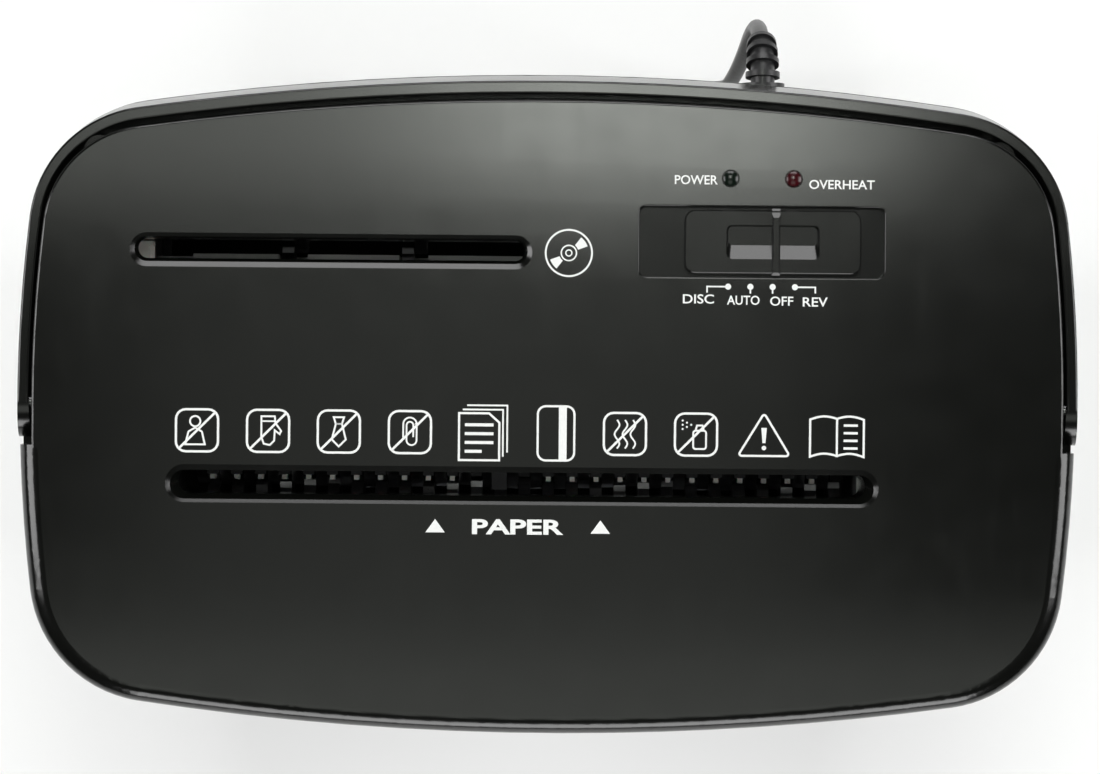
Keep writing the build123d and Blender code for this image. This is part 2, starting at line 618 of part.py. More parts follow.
def make_frame():
    rods = [(c, 2) for c in TIE_RODS]
    cutters = [(FRONT_CUTTER, 8), (REAR_CUTTER, 8)]
    nodes["left_frame_plate"] = plate_x(
        LEFT_PLATE_X, (-76, 90), (PLATE_LOW_Z, PLATE_HIGH_Z),
        cutters + rods + [(DISC_FRONT, 6), (DISC_REAR, 6)])
    right = plate_x(RIGHT_PLATE_X, (-76, 90), (PLATE_LOW_Z, PLATE_HIGH_Z), [])
    right += block((RIGHT_PLATE_X, RIGHT_PLATE_X + PLATE), (SECOND_GEAR[0] - 10,
                   SECOND_GEAR[0] + 12), (PLATE_HIGH_Z - 1, SECOND_GEAR[1] + 9))
    arbors = [(FIRST_GEAR, 3), (SECOND_GEAR, 3), (MOTOR, 9)]
    for centre, radius in cutters + rods + arbors:
        right -= rod_x(RIGHT_PLATE_X - 1, RIGHT_PLATE_X + PLATE + 1, *centre, radius)
    nodes["right_frame_plate"] = right
    nodes["disc_bearing_bracket"] = plate_x(
        BRACKET_X, (DISC_FRONT_Y - 12, DISC_REAR_Y + 12), (DECK_TOP_Z, 356),
        [(DISC_FRONT, 6), (DISC_REAR, 6)])
    inner = (LEFT_PLATE_X + PLATE, RIGHT_PLATE_X)
    nodes["tie_rods"] = group([rod_x(*inner, *c, 4) - rod_x(inner[0] - 1, inner[0] + 9.1, *c, 2)
                               - rod_x(inner[1] - 9.1, inner[1] + 1, *c, 2) for c in TIE_RODS])
    bushes = []
    for centre in (FRONT_CUTTER, REAR_CUTTER):
        bushes.append(ring_x(centre, 8, JOURNAL_RADIUS + RUNNING, LEFT_PLATE_X,
                             LEFT_PLATE_X + 7))
        bushes.append(ring_x(centre, 8, JOURNAL_RADIUS + RUNNING, 100.4, RIGHT_PLATE_X + PLATE))
    for centre in (DISC_FRONT, DISC_REAR):
        bushes.append(ring_x(centre, 6, DISC_JOURNAL + RUNNING, LEFT_PLATE_X,
                             LEFT_PLATE_X + 5))
        bushes.append(ring_x(centre, 6, DISC_JOURNAL + RUNNING, BRACKET_X - 1.5,
                             BRACKET_X + PLATE))
    nodes["bearing_bushes"] = group(bushes)


def make_comb(bar_y, back_y, tip_y, first_x):
    """Stripper comb: a bar with a finger between each pair of discs."""
    span = (LEFT_PLATE_X + PLATE, RIGHT_PLATE_X)
    outer = bar_y + (4.5 if bar_y > tip_y else -4.5)
    comb = block(span, sorted((bar_y, outer)), (350, FINGER_HIGH_Z))
    for i in range(DISC_COUNT - 1):
        x = first_x + DISC_PITCH * i
        width = (x - FINGER_WIDTH / 2, x + FINGER_WIDTH / 2)
        comb += block(width, sorted((bar_y, tip_y)), (FINGER_LOW_Z, FINGER_HIGH_Z))
        comb += block(width, sorted((bar_y, back_y)), (330, FINGER_HIGH_Z))
    return comb


def make_combs():
    nodes["rear_stripper_comb"] = make_comb(12.5, REAR_CUTTER_Y + 13, -24.9, FRONT_DISC_X)
    nodes["front_stripper_comb"] = make_comb(-68.0, FRONT_CUTTER_Y - 13, -31.5,
                                             REAR_DISC_X + DISC_PITCH)
    tips = []
    for i in range(DISC_COUNT - 1):
        x = FRONT_DISC_X + DISC_PITCH * i
        if abs(x - LEVER_X) > 10:
            tips.append(block((x - 0.8, x + 0.8), (-26.5, -24.9), (355, FINGER_HIGH_Z)))
    nodes["guide_tips"] = group(tips)


def make_cutter(name, centre, first_x, turn_step, gear_phase, right_end):
    """One paper cutter: hex shaft with spacer rings, hooked discs and its sync gear."""
    shaft = hex_shaft(centre, HEX_RADIUS, (CUTTER_LEFT_X, CUTTER_RIGHT_X), JOURNAL_RADIUS,
                      (LEFT_SHAFT_END_X, right_end))
    shaft += rod_x(LEFT_PLATE_X + 7.3, CUTTER_LEFT_X, *centre, SPACER_RADIUS)
    discs = []
    spacers = []
    for i in range(DISC_COUNT):
        x = first_x + DISC_PITCH * i
        discs.append(hooked_disc(centre, CUTTER_TIP, CUTTER_ROOT, 8, turn_step * i, x,
                                 DISC_THICKNESS, HEX_RADIUS + RUNNING))
        if i < DISC_COUNT - 1:
            x0 = x + DISC_THICKNESS / 2 + RUNNING
            x1 = x + DISC_PITCH - DISC_THICKNESS / 2 - RUNNING
            spacers.append(hex_bore(rod_x(x0, x1, *centre, SPACER_RADIUS),
                                    HEX_RADIUS + RUNNING, centre, x0, x1))
    nodes[name + "_cutter_discs"] = group(discs)
    nodes[name + "_cutter_shaft"] = group([shaft] + spacers)
    sync = gear(DRIVE_MODULE, SYNC_TEETH, centre, gear_phase, *SYNC_GEAR_X)
    nodes[name + "_sync_gear"] = sync - rod_x(-160, -140, *centre, JOURNAL_RADIUS)


def make_cutters():
    rear_phase = 0.0
    front_phase = mesh_phase(REAR_CUTTER, SYNC_TEETH, rear_phase, FRONT_CUTTER, SYNC_TEETH)
    make_cutter("rear", REAR_CUTTER, REAR_DISC_X, 0.11, rear_phase, 139.0)
    make_cutter("front", FRONT_CUTTER, FRONT_DISC_X, -0.11, front_phase, RIGHT_PLATE_X + 3.6)
    return rear_phase


def make_disc_cutter(name, centre, offset, shaft_left):
    shaft = hex_shaft(centre, DISC_HEX, (LEFT_PLATE_X + 5.3, BRACKET_X - 1.8), DISC_JOURNAL,
                      (shaft_left, BRACKET_X + PLATE + 0.6))
    nodes["disc_" + name + "_shaft"] = shaft
    nodes["disc_" + name + "_blades"] = group([
        hooked_disc(centre, DISC_CUTTER_TIP, 12.4, 6, 0.3 * offset, x + offset, 4.0,
                    DISC_HEX + RUNNING) for x in DISC_CUTTER_XS])


def make_disc_unit(rear_phase):
    make_disc_cutter("front", DISC_FRONT, -2.2, LEFT_SHAFT_END_X)
    make_disc_cutter("rear", DISC_REAR, 2.2, PAIR_GEAR_X[0] - 0.3)
    drive_phase = mesh_phase(REAR_CUTTER, SYNC_TEETH, rear_phase, DISC_FRONT, DISC_DRIVE_TEETH)
    pair_phase = mesh_phase(DISC_FRONT, DISC_PAIR_TEETH, 0.0, DISC_REAR, DISC_PAIR_TEETH)
    big = gear(DRIVE_MODULE, DISC_DRIVE_TEETH, DISC_FRONT, drive_phase, *SYNC_GEAR_X)
    small = gear(DRIVE_MODULE, DISC_PAIR_TEETH, DISC_FRONT, 0.0, SYNC_GEAR_X[1], PAIR_GEAR_X[1])
    bore = rod_x(-160, -140, *DISC_FRONT, DISC_JOURNAL)
    nodes["disc_drive_gear"] = big + small - bore
    pair = gear(DRIVE_MODULE, DISC_PAIR_TEETH, DISC_REAR, pair_phase, *PAIR_GEAR_X)
    nodes["disc_pair_gear"] = pair - rod_x(-160, -140, *DISC_REAR, DISC_JOURNAL)
    guide = block((LEFT_PLATE_X + PLATE, BRACKET_X), (48.2, 49.8), (314, 323.5))
    guide += block((-121, -9), (48.2, 49.8), (323, 352))
    for x in DISC_CUTTER_XS:
        guide -= block((x - 5, x + 5), (47, 51), (323, 353))
    nodes["disc_guide_plate"] = guide


# ---- drive --------------------------------------------------------------------------------

def make_motor():
    stator = ring_x(MOTOR, MOTOR_RADIUS, 17.5, 20, 86)
    nodes["motor_stator"] = stator
    front = rod_x(86, RIGHT_PLATE_X, *MOTOR, MOTOR_RADIUS) - rod_x(85, 98, *MOTOR, 20)
    front -= rod_x(90, 110, *MOTOR, MOTOR_SHAFT + RUNNING)
    rear = rod_x(12, 20, *MOTOR, MOTOR_RADIUS) - rod_x(15, 21, *MOTOR, 20)
    rear -= rod_x(11, 21, *MOTOR, MOTOR_SHAFT + RUNNING)
    for i in range(6):
        angle = i * pi / 3
        rear -= rod_x(11, 21, MOTOR_Y + 14 * cos(angle), MOTOR_Z + 14 * sin(angle), 4)
    nodes["motor_end_bells"] = group([front, rear])
    core = rod_x(30, 78, *MOTOR, 16.6) + rod_x(22, 30.5, *MOTOR, 9)
    nodes["motor_armature"] = core + rod_x(1.5, 116, *MOTOR, MOTOR_SHAFT)
    blades = rod_x(3, 4.5, *MOTOR, 22) + rod_x(3, 10, *MOTOR, 7)
    for i in range(9):
        blade = block((4.4, 10), (MOTOR_Y + 5, MOTOR_Y + 22), (MOTOR_Z - 0.7, MOTOR_Z + 0.7))
        spin = Axis((0, MOTOR_Y, MOTOR_Z), (1, 0, 0))
        blades += blade.rotate(spin, i * 40)
    nodes["motor_fan"] = blades - rod_x(0, 12, *MOTOR, MOTOR_SHAFT)


def make_reduction(rear_phase):
    second_small = mesh_phase(REAR_CUTTER, FINAL_TEETH, rear_phase, SECOND_GEAR,
                              SECOND_SMALL_TEETH)
    first_small = mesh_phase(SECOND_GEAR, SECOND_TEETH, 0.0, FIRST_GEAR, FIRST_SMALL_TEETH)
    pinion_phase = mesh_phase(FIRST_GEAR, FIRST_TEETH, 0.0, MOTOR, PINION_TEETH)
    final = gear(DRIVE_MODULE, FINAL_TEETH, REAR_CUTTER, rear_phase, 126.5, 136.5)
    nodes["final_gear"] = final - rod_x(120, 140, *REAR_CUTTER, JOURNAL_RADIUS)
    second = gear(FIRST_MODULE, SECOND_TEETH, SECOND_GEAR, 0.0, 117.5, 124.5)
    second += gear(DRIVE_MODULE, SECOND_SMALL_TEETH, SECOND_GEAR, second_small, 124.5, 137.5)
    nodes["second_gear"] = second - rod_x(110, 140, *SECOND_GEAR, MOTOR_SHAFT + RUNNING)
    first = gear(PINION_MODULE, FIRST_TEETH, FIRST_GEAR, 0.0, 109.5, 115.5)
    first += gear(FIRST_MODULE, FIRST_SMALL_TEETH, FIRST_GEAR, first_small, 115.5, 125.5)
    nodes["first_gear"] = first - rod_x(105, 130, *FIRST_GEAR, MOTOR_SHAFT + RUNNING)
    pinion = gear(PINION_MODULE, PINION_TEETH, MOTOR, pinion_phase, 108.8, 116)
    nodes["motor_pinion"] = pinion - rod_x(105, 120, *MOTOR, MOTOR_SHAFT)
    nodes["gear_arbors"] = group([rod_x(RIGHT_PLATE_X, 142.5, *c, MOTOR_SHAFT)
                                  for c in (FIRST_GEAR, SECOND_GEAR)])
    cover = block((140, 142.5), (-48, 70), (308, 379))
    for centre in GEAR_POSTS:
        cover += rod_x(RIGHT_PLATE_X + PLATE, 140, *centre, 4)
    cover -= rod_x(139, 143, *FIRST_GEAR, 3) + rod_x(139, 143, *SECOND_GEAR, 3)
    for centre in GEAR_POSTS:
        cover -= rod_x(132, 143, *centre, 1.5)
    nodes["gear_cover_plate"] = cover


# ---- mains cord ---------------------------------------------------------------------------

def wall_y():
    """Rear face of the housing at the cord's exit."""
    inset = (SPLIT_Z - RELIEF_Z) * tan(radians(4))
    return HALF_DEPTH - inset - LONG_ARC + sqrt(LONG_ARC ** 2 - CORD_X ** 2)


def relief_point(angle):
    """Point and direction on the strain relief's bend, angle degrees below the horizontal."""
    a = radians(angle)
    y = wall_y() + 3 + RELIEF_BEND * sin(a)
    z = RELIEF_Z - RELIEF_BEND * (1 - cos(a))
    return Vector(CORD_X, y, z), Vector(0, cos(a), -sin(a))


def make_strain_relief():
    start = Vector(CORD_X, wall_y() - 8, RELIEF_Z)
    bend_start, _ = relief_point(0)
    bend_mid, _ = relief_point(RELIEF_ANGLE / 2)
    bend_end, _ = relief_point(RELIEF_ANGLE)
    neck = extrude(Plane(start, z_dir=(0, 1, 0)) * Circle(5), amount=11)
    arc = ThreePointArc(bend_start, bend_mid, bend_end)
    core = sweep(Plane(bend_start, z_dir=(0, 1, 0)) * Circle(4.1), path=Wire([arc]))
    relief = neck + core
    relief += extrude(Plane(start, z_dir=(0, 1, 0)) * Circle(8), amount=3)
    relief += extrude(Plane(Vector(CORD_X, wall_y() + 0.6, RELIEF_Z), z_dir=(0, 1, 0))
                      * Circle(7.5), amount=2.4)
    for i in range(4):
        centre, along = relief_point(7 + 16.5 * i)
        relief += extrude(Plane(centre, z_dir=along) * Circle(5.9 - 0.25 * i), amount=1.9)
    nodes["strain_relief"] = relief


def cord_tube(name, points):
    """Round tube along straight runs joined by tangent arcs; prints its radii and volume."""
    runs = [(b - a).length for a, b in zip(points, points[1:])]
    radii = []
    for i in range(1, len(points) - 1):
        turn = (points[i] - points[i - 1]).get_angle(points[i + 1] - points[i])
        radii.append(0.45 * min(runs[i - 1], runs[i]) / tan(radians(turn / 2)))
    path = FilletPolyline(*points, radius=radii)
    start = Plane(points[0], z_dir=points[1] - points[0])
    tube = sweep(start * Circle(CORD_RADIUS), path=path)
    expected = pi * CORD_RADIUS ** 2 * path.length
    print(name, "length", round(path.length, 1), "runs", [round(r) for r in runs],
          "radii", [round(r) for r in radii], "volume ratio", round(tube.volume / expected, 4))
    nodes[name] = tube


def make_cord():
    exit_point, along = relief_point(RELIEF_ANGLE)
    first = exit_point + along * 20
    drop = [Vector(72.6, 133.9, 272), Vector(73.5, 132.7, 203), Vector(73.9, 131.3, 130),
            Vector(73.4, 130.6, 72), Vector(72.8, 131.3, 44), Vector(69.0, 132.3, 23),
            Vector(54.5, 133.5, 8), Vector(36.0, 133.5, 3.1), Vector(20.0, 130.4, 3.1)]
    cord_tube("power_cord", [exit_point, first] + drop)
    tail = [Vector(17, 95.2, 15.4), Vector(42, 91.0, 15.8), Vector(60, 91.8, 10.8),
            Vector(73, 93.8, 8.4), Vector(86, 97.0, 8.3)]
    cord_tube("plug_lead", tail)
    ends = [HANK_X - HANK_HALF_RUN, HANK_X + HANK_HALF_RUN]
    hank = block(ends, (HANK_Y - HANK_HALF_WAIST, HANK_Y + HANK_HALF_WAIST), (0.1, HANK_TOP_Z))
    for x in ends:
        hank += post(x, HANK_Y, 0.1, HANK_TOP_Z, HANK_HALF_WIDTH)
        inward = 1 if x < HANK_X else -1
        neck = x + HANK_SHOULDER * inward
        shoulder = [(x, HANK_Y - HANK_HALF_WIDTH), (neck, HANK_Y - HANK_HALF_WAIST),
                    (neck, HANK_Y + HANK_HALF_WAIST), (x, HANK_Y + HANK_HALF_WIDTH)]
        face = Pos(0, 0, 0.1) * make_face(Polyline(*shoulder, close=True))
        hank += extrude(face, amount=HANK_TOP_Z - 0.1)
    nodes["cord_hank"] = hank
    half = HANK_HALF_WAIST
    tie = block((HANK_X - 4, HANK_X + 4), (HANK_Y - half - 1.5, HANK_Y + half + 1.5),
                (0.1, HANK_TOP_Z + 1.5))
    nodes["cord_tie"] = tie - block((HANK_X - 5, HANK_X + 5), (HANK_Y - half, HANK_Y + half),
                                    (0, HANK_TOP_Z))


def make_plug():
    """Moulded plug lying flat, with two blades and a round earth pin."""
    lead_end = Vector(86, 97.0, 8.3)
    along = (lead_end - Vector(73, 93.8, 8.4)).normalized()
    frame = Plane(lead_end, x_dir=(-along.Y, along.X, 0), z_dir=along)
    cone = loft([frame * Circle(4.2), frame.offset(18) * Circle(5.6)], ruled=True)
    body = loft([frame.offset(16) * RectangleRounded(17, 14, 5),
                 frame.offset(26) * RectangleRounded(27, 16, 6)], ruled=True)
    body += extrude(frame.offset(26) * RectangleRounded(27, 16, 6), amount=16)
    nodes["mains_plug"] = cone + body
    face = frame.offset(42)
    pins = [extrude(face * Pos(side * 6.35, 1.5) * Rectangle(1.6, 6.4), amount=15)
            for side in (-1, 1)]
    pins.append(extrude(face * Pos(0, -4.0) * Circle(2.4), amount=17))
    nodes["plug_pins"] = group(pins)


# ---- build and write ----------------------------------------------------------------------

make_bin()
make_bottom_housing()
make_top_cover()
make_handle()
make_switch()
make_electrics()
make_sensor()
make_interlock()
make_screws()
make_frame()
make_combs()
rear_gear_phase = make_cutters()
make_disc_unit(rear_gear_phase)
make_motor()
make_reduction(rear_gear_phase)
make_strain_relief()
make_cord()
make_plug()

os.makedirs("parts", exist_ok=True)
for name, shape in nodes.items():
    export_step(shape, "parts/" + name + ".step")
print(len(nodes), "nodes")
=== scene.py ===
import json
from math import cos, pi, radians, sin, sqrt

import bpy
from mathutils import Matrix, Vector


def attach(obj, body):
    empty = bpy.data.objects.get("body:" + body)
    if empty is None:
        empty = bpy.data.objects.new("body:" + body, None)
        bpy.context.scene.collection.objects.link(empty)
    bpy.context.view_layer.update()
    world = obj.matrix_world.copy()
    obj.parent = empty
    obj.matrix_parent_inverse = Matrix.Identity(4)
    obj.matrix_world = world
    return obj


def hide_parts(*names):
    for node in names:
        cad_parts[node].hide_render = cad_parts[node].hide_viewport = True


# Paper and disc shredder. Lengths in this file are millimetres unless a comment says metres;
# MM turns them into Blender's metres.

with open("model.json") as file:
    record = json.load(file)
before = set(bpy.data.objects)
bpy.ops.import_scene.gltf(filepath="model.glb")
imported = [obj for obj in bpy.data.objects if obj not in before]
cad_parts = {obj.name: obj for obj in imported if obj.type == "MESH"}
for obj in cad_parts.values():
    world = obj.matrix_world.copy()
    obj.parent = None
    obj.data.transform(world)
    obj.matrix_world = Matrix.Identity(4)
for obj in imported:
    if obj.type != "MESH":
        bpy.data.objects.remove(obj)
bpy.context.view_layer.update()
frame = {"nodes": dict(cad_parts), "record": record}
nodes = frame["nodes"]
MM = 0.001


# ---- shader graphs ------------------------------------------------------------------------

class Graph:
    """One procedural material: a Principled shader and the nodes that drive it."""

    def __init__(self, name, **sockets):
        self.material = bpy.data.materials.new(name)
        self.material.use_nodes = True
        self.tree = self.material.node_tree
        self.shader = self.tree.nodes["Principled BSDF"]
        self.place = self.node("TexCoord").outputs["Object"]
        for label, value in sockets.items():
            self.shader.inputs[label.replace("_", " ")].default_value = value

    def node(self, kind, inputs=None, **settings):
        made = self.tree.nodes.new("ShaderNode" + kind)
        for key, value in settings.items():
            setattr(made, key, value)
        for key, value in (inputs or {}).items():
            if isinstance(value, bpy.types.NodeSocket):
                self.tree.links.new(value, made.inputs[key])
            else:
                made.inputs[key].default_value = value
        return made

    def stretched(self, stretch):
        """Object coordinates in metres, scaled on each axis."""
        if stretch == (1, 1, 1):
            return self.place
        return self.node("Mapping", {"Vector": self.place, "Scale": stretch}).outputs[0]

    def noise(self, size, detail=2.0, stretch=(1, 1, 1)):
        """Noise from 0 to 1 whose features are about size millimetres across."""
        inputs = {"Vector": self.stretched(stretch), "Scale": 1 / (size * MM), "Detail": detail}
        return self.node("TexNoise", inputs).outputs["Fac"]

    def cells(self, size):
        """Distance to the nearest of scattered points, about size millimetres apart."""
        inputs = {"Vector": self.place, "Scale": 1 / (size * MM)}
        return self.node("TexVoronoi", inputs, feature="F1").outputs["Distance"]

    def lines(self, pitch, axis="X", wobble=0.0):
        """Even lines across an axis, pitch millimetres apart."""
        inputs = {"Vector": self.place, "Scale": pi / (10 * pitch * MM), "Distortion": wobble}
        wave = self.node("TexWave", inputs, wave_type="BANDS", bands_direction=axis)
        return wave.outputs["Fac"]

    def math(self, operation, a, b):
        return self.node("Math", {0: a, 1: b}, operation=operation).outputs[0]

    def span(self, value, low, high, start=0.0, end=1.0):
        """value from start to end becomes low to high."""
        inputs = {"Value": value, "From Min": start, "From Max": end, "To Min": low, "To Max": high}
        return self.node("MapRange", inputs).outputs["Result"]

    def mix(self, factor, a, b):
        """Colour b over colour a by factor."""
        made = self.node("Mix", data_type="RGBA")
        sockets = [s for s in made.inputs if s.enabled]
        for socket, value in zip(sockets, (factor, a, b)):
            if isinstance(value, bpy.types.NodeSocket):
                self.tree.links.new(value, socket)
            else:
                socket.default_value = value if isinstance(value, float) else (*value, 1.0)
        return [s for s in made.outputs if s.enabled][0]

    def bump(self, height, depth, base=None):
        """Surface relief of depth millimetres, over an earlier bump if there is one."""
        inputs = {"Height": height, "Distance": depth * MM, "Strength": 1.0}
        if base is not None:
            inputs["Normal"] = base
        return self.node("Bump", inputs).outputs["Normal"]

    def finish(self, colour=None, roughness=None, normal=None, **others):
        """The material, with its shader's sockets linked to the given outputs."""
        given = {"Base Color": colour, "Roughness": roughness, "Normal": normal}
        given.update({label.replace("_", " "): value for label, value in others.items()})
        for label, value in given.items():
            if value is not None:
                self.tree.links.new(value, self.shader.inputs[label])
        return self.material


def tint(colour, share):
    return tuple(min(1.0, c * share) for c in colour)


def moulded(name, colour, roughness, grain=0.55, depth=0.004, scuff=0.25):
    """Textured injection-moulded plastic with slow tone drift and faint handling scuffs."""
    g = Graph(name)
    drift = g.noise(70, 3)
    rubbed = g.span(g.noise(9, 6, (1, 0.25, 1)), 0.0, scuff, 0.56, 0.72)
    base = g.mix(drift, tint(colour, 0.8), tint(colour, 1.25))
    worn = g.mix(rubbed, base, tint(colour, 1.9))
    rough = g.math("ADD", g.span(g.noise(16, 4), roughness - 0.035, roughness + 0.035),
                   g.span(rubbed, 0.0, 0.05))
    skin = g.bump(g.noise(grain, 2), depth)
    return g.finish(worn, rough, g.bump(g.noise(34, 1), 0.03, skin))


def metal(name, colour, roughness, stretch=(1, 1, 1), size=0.6, depth=0.006, stain=0.25,
          dark=0.6):
    """Bare metal with a directional tool finish and a thin uneven oil film."""
    g = Graph(name, Metallic=1.0)
    finish = g.noise(size, 3, stretch)
    film = g.span(g.noise(13, 5), 0.0, stain, 0.42, 0.75)
    base = g.mix(finish, tint(colour, 0.86), tint(colour, 1.1))
    stained = g.mix(film, base, tint(colour, dark))
    rough = g.math("ADD", g.span(finish, roughness - 0.06, roughness + 0.06),
                   g.span(film, 0.0, 0.12))
    return g.finish(stained, rough, g.bump(finish, depth))


def nylon(name, colour, roughness):
    """Slightly translucent machine nylon with mould flow marks."""
    g = Graph(name, Subsurface_Weight=0.12, Subsurface_Scale=0.002)
    flow = g.noise(11, 5, (0.4, 1, 1))
    grease = g.span(g.noise(6, 3), 0.0, 0.5, 0.55, 0.8)
    base = g.mix(flow, tint(colour, 0.9), tint(colour, 1.06))
    rough = g.span(grease, roughness, roughness - 0.12)
    return g.finish(g.mix(grease, base, tint(colour, 0.75)), rough, g.bump(g.noise(1.2, 2), 0.01))


def smoky_window():
    """Smoked clear plastic with a little haze and fine upright scratches."""
    g = Graph("smoked_window", Transmission_Weight=0.82, IOR=1.49)
    haze = g.noise(26, 4)
    scratch = g.span(g.noise(1.6, 3, (1, 1, 0.06)), 0.0, 1.0, 0.62, 0.7)
    colour = g.mix(haze, (0.10, 0.105, 0.11), (0.14, 0.145, 0.15))
    rough = g.math("ADD", g.span(haze, 0.05, 0.10), g.span(scratch, 0.0, 0.18))
    return g.finish(colour, rough, g.bump(scratch, 0.004))


def rubber(name, colour, roughness):
    """Matt rubber with patches of dust."""
    g = Graph(name, Specular_IOR_Level=0.35)
    dust = g.span(g.noise(4, 6), 0.0, 0.5, 0.5, 0.8)
    colour_out = g.mix(dust, colour, tint(colour, 3.0))
    return g.finish(colour_out, g.span(dust, roughness, roughness + 0.12),
                    g.bump(g.noise(0.4, 3), 0.02))


def cord_jacket():
    """Extruded PVC with a slight twist of the cores showing through."""
    g = Graph("cord_pvc_black", Coat_Weight=0.15, Coat_Roughness=0.35)
    marks = g.noise(5, 4)
    colour = g.mix(marks, (0.006, 0.006, 0.0065), (0.014, 0.014, 0.015))
    skin = g.bump(g.noise(0.7, 2), 0.012)
    return g.finish(colour, g.span(marks, 0.36, 0.48), g.bump(g.noise(8, 1), 0.12, skin))


def lamp(name, colour, depth_colour):
    """Dark tinted lens, cloudy between two depths of its colour."""
    g = Graph(name, Transmission_Weight=0.2, IOR=1.45)
    cloud = g.noise(1.6, 3)
    return g.finish(g.mix(cloud, depth_colour, colour), g.span(cloud, 0.16, 0.26),
                    g.bump(g.noise(0.8, 1), 0.01))


def circuit_board():
    """Green solder mask with faint tracks and round tinned pads."""
    g = Graph("circuit_board")
    tracks = g.node("TexBrick", {"Vector": g.place, "Scale": 160.0, "Mortar Size": 0.03})
    pads = g.span(g.cells(3.2), 1.0, 0.0, 0.10, 0.14)
    mask = g.mix(tracks.outputs["Fac"], (0.008, 0.055, 0.02), (0.015, 0.10, 0.035))
    colour = g.mix(pads, mask, (0.55, 0.55, 0.52))
    return g.finish(colour, g.span(pads, 0.42, 0.25), g.bump(tracks.outputs["Fac"], 0.02),
                    Metallic=g.math("MULTIPLY", pads, 0.9))


def component_case():
    """Epoxy bodies on the board, with a printed pale band low on each."""
    g = Graph("component_case")
    grain = g.noise(0.5, 3)
    band = g.span(g.lines(9, "Z"), 0.0, 1.0, 0.93, 0.97)
    colour = g.mix(band, (0.012, 0.014, 0.02), (0.22, 0.23, 0.25))
    return g.finish(colour, g.span(grain, 0.34, 0.5), g.bump(grain, 0.015))


def laminated(name, colour):
    """Stack of thin steel sheets, seen as fine rings along the motor."""
    g = Graph(name, Metallic=1.0)
    sheets = g.lines(0.65, "X", 0.4)
    rust = g.span(g.noise(9, 5), 0.0, 0.35, 0.5, 0.8)
    colour_out = g.mix(rust, g.mix(sheets, tint(colour, 0.7), colour), (0.10, 0.06, 0.035))
    return g.finish(colour_out, g.span(rust, 0.32, 0.55), g.bump(sheets, 0.05))


def windings():
    """Armature: enamelled copper with lacquer, coarse turns along the shaft."""
    g = Graph("copper_windings", Metallic=1.0, Coat_Weight=0.5, Coat_Roughness=0.2)
    turns = g.lines(0.9, "X", 1.2)
    shade = g.noise(5, 3)
    copper = (0.42, 0.15, 0.06)
    colour = g.mix(shade, copper, (0.62, 0.26, 0.11))
    return g.finish(g.mix(turns, tint(copper, 0.6), colour),
                    g.span(shade, 0.25, 0.4), g.bump(turns, 0.12))


def ink(name, colour):
    """Pad-printed ink: slightly patchy, so that the plastic's grain shows in it."""
    g = Graph(name)
    patch = g.noise(0.9, 4)
    return g.finish(g.mix(patch, tint(colour, 0.86), colour), g.span(patch, 0.45, 0.6),
                    g.bump(g.noise(0.55, 2), 0.01))


def webbing():
    """Hook-and-loop strap of the cord's tie."""
    g = Graph("tie_webbing", Sheen_Weight=0.5, Sheen_Roughness=0.5)
    loops = g.cells(0.55)
    rows = g.lines(0.8, "X", 0.6)
    colour = g.mix(loops, (0.010, 0.010, 0.011), (0.035, 0.035, 0.037))
    return g.finish(colour, g.span(loops, 0.75, 0.95), g.bump(loops, 0.12, g.bump(rows, 0.08)))


BLACK = (0.0026, 0.0028, 0.0024)

# by the record's material slot, apart from disc_guide_plate, which is a node's own finish,
# lightened as a painted highlight
finishes = {
    "cover_plastic": moulded("cover_black", BLACK, 0.175),
    "housing_plastic": moulded("housing_black", tint(BLACK, 1.3), 0.34, 0.8, 0.012),
    "handle_plastic": moulded("handle_black", tint(BLACK, 1.1), 0.19),
    "bin_plastic": moulded("bin_charcoal", (0.022, 0.023, 0.024), 0.40, 0.9, 0.014),
    "window_plastic": smoky_window(),
    "knob_plastic": moulded("knob_black", BLACK, 0.20, 0.7, 0.004),
    "inner_plastic": moulded("inner_black", (0.016, 0.016, 0.017), 0.5, 0.7, 0.02),
    "pale_nylon": nylon("pale_nylon", (0.74, 0.73, 0.68), 0.42),
    "gear_nylon": nylon("gear_nylon", (0.62, 0.60, 0.52), 0.40),
    "steel_plate": metal("zinc_sheet", (0.62, 0.63, 0.62), 0.34, (1, 0.08, 1), 0.8),
    "cutter_steel": metal("ground_cutter_steel", (0.44, 0.44, 0.45), 0.30, (1, 1, 0.15), 0.5,
                          0.01, 0.6, 0.35),
    "shaft_steel": metal("turned_shaft_steel", (0.60, 0.60, 0.61), 0.22, (0.08, 1, 1), 0.5),
    "screw_steel": metal("zinc_screws", (0.66, 0.65, 0.60), 0.28),
    # painted highlight: the guide plate's colour is raised to 0.90 so that it looks as lit as the
    # light its edge catches in the disc slot
    "disc_guide_plate": metal("guide_sheet_painted_highlight", (0.90, 0.90, 0.88), 0.62, (0.08, 1, 1), 0.8),
    "bronze": metal("sintered_bronze", (0.55, 0.36, 0.16), 0.46, (1, 1, 1), 0.35, 0.02, 0.4),
    "motor_steel": laminated("motor_laminations", (0.42, 0.42, 0.43)),
    "motor_bell": metal("pressed_motor_bell", (0.50, 0.51, 0.50), 0.38, (0.2, 1, 1), 1.2),
    "copper": windings(),
    "green_lamp": lamp("green_lens", (0.001, 0.008, 0.003), (0.0004, 0.002, 0.001)),
    "red_lamp": lamp("red_lens", (0.050, 0.001, 0.004), (0.022, 0.0005, 0.002)),
    "board": circuit_board(),
    "component": component_case(),
    "rubber": rubber("foot_rubber", (0.012, 0.012, 0.012), 0.75),
    "cord_pvc": cord_jacket(),
    "plug_plastic": moulded("plug_black", (0.010, 0.010, 0.011), 0.4, 0.5, 0.02),
    "plug_blade": metal("nickel_blades", (0.70, 0.66, 0.58), 0.18, (1, 1, 0.1), 0.5, 0.003),
}

